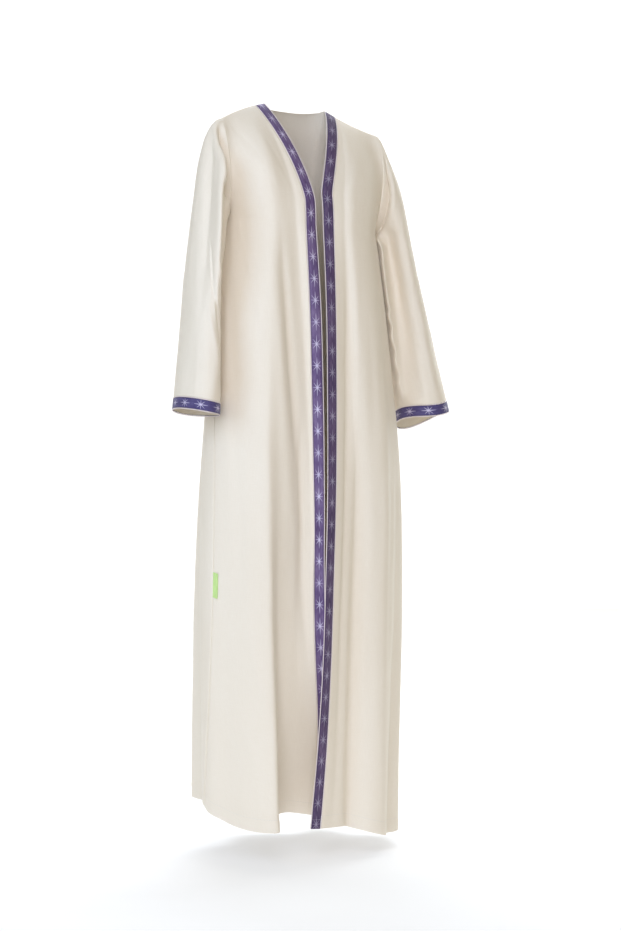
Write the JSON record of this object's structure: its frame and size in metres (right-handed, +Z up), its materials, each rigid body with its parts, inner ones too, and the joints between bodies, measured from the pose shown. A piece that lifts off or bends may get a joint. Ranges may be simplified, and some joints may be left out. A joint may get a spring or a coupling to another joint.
{
  "type": "abaya",
  "caption": "Floor-length open-front abaya as worn, ivory cloth with long soft folds, V neck, wide straight sleeves, violet starred trim at the front edges and cuffs",
  "frame": {"origin": "On the wearer's upright axis, level with the neck ends of the shoulder seams, where the shoulders carry the garment.", "axes": "+Z up, the open front faces -Y, +X is the wearer's left."},
  "size_m": [0.6362, 0.3457, 1.5345],
  "materials": {
    "ivory_cloth": "ivory crepe with a fine uneven weave and a soft sheen, turned and stitched hem",
    "violet_trim": "violet woven trim with mottled ground and pale lilac eight-point stars",
    "pale_piping": "thin pale rose satin piping",
    "lime_tab": "plain lime woven tab, blank"
  },
  "bodies": {
    "root": {"front_right": "ivory_cloth", "front_left": "ivory_cloth", "back": "ivory_cloth", "sleeve_right": "ivory_cloth", "sleeve_left": "ivory_cloth", "front_band_right": "violet_trim", "front_band_left": "violet_trim", "cuff_band_right": "violet_trim", "cuff_band_left": "violet_trim", "front_piping_inner_right": "pale_piping", "front_piping_inner_left": "pale_piping", "front_piping_outer_right": "pale_piping", "front_piping_outer_left": "pale_piping", "cuff_piping_upper_right": "pale_piping", "cuff_piping_upper_left": "pale_piping", "cuff_piping_lower_right": "pale_piping", "cuff_piping_lower_left": "pale_piping", "side_label": "lime_tab"}
  },
  "joints": []
}
